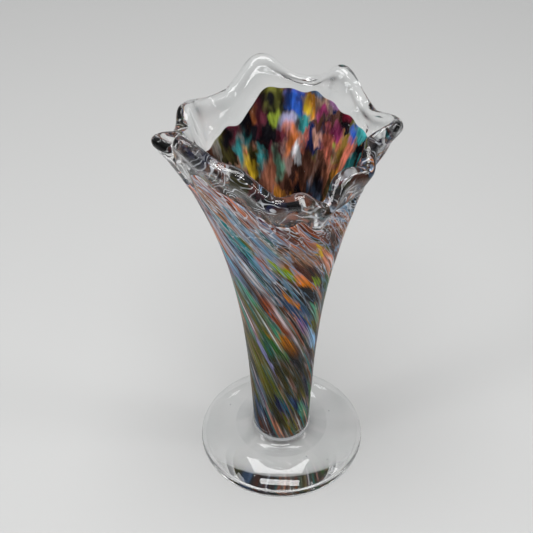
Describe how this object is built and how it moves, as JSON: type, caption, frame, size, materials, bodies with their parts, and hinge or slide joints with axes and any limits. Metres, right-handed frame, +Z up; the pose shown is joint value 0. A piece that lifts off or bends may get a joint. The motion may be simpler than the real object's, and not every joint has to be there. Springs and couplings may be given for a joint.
{
  "type": "hand blown art glass vase",
  "caption": "Slim hand blown glass vase: clear disc foot, streaked multicolour glass wall flaring up to a clear, pinched and ruffled mouth.",
  "frame": {"origin": "centre of the foot's resting face, on the stem's axis", "axes": "+Z up the stem to the mouth; -Y faces the side the picture shows, +X is that view's right"},
  "size_m": [0.1125, 0.1032, 0.2401],
  "materials": {
    "foot_glass": "clear, fire-polished; ground flat under its middle",
    "collar_glass": "clear, fire-polished",
    "casing_glass": "clear, fire-polished",
    "colour_glass": "nearly opaque streaked frit in many colours, sealed under clear glass",
    "inner_glass": "clear, glossy",
    "floor_glass": "clear, glossy; the thick bottom of the inner layer",
    "lip_glass": "clear, fire-polished"
  },
  "bodies": {
    "root": {"foot": "foot_glass", "collar": "collar_glass", "outer_casing": "casing_glass", "colour_layer": "colour_glass", "inner_layer": "inner_glass", "inner_floor": "floor_glass", "lip": "lip_glass"}
  },
  "joints": []
}
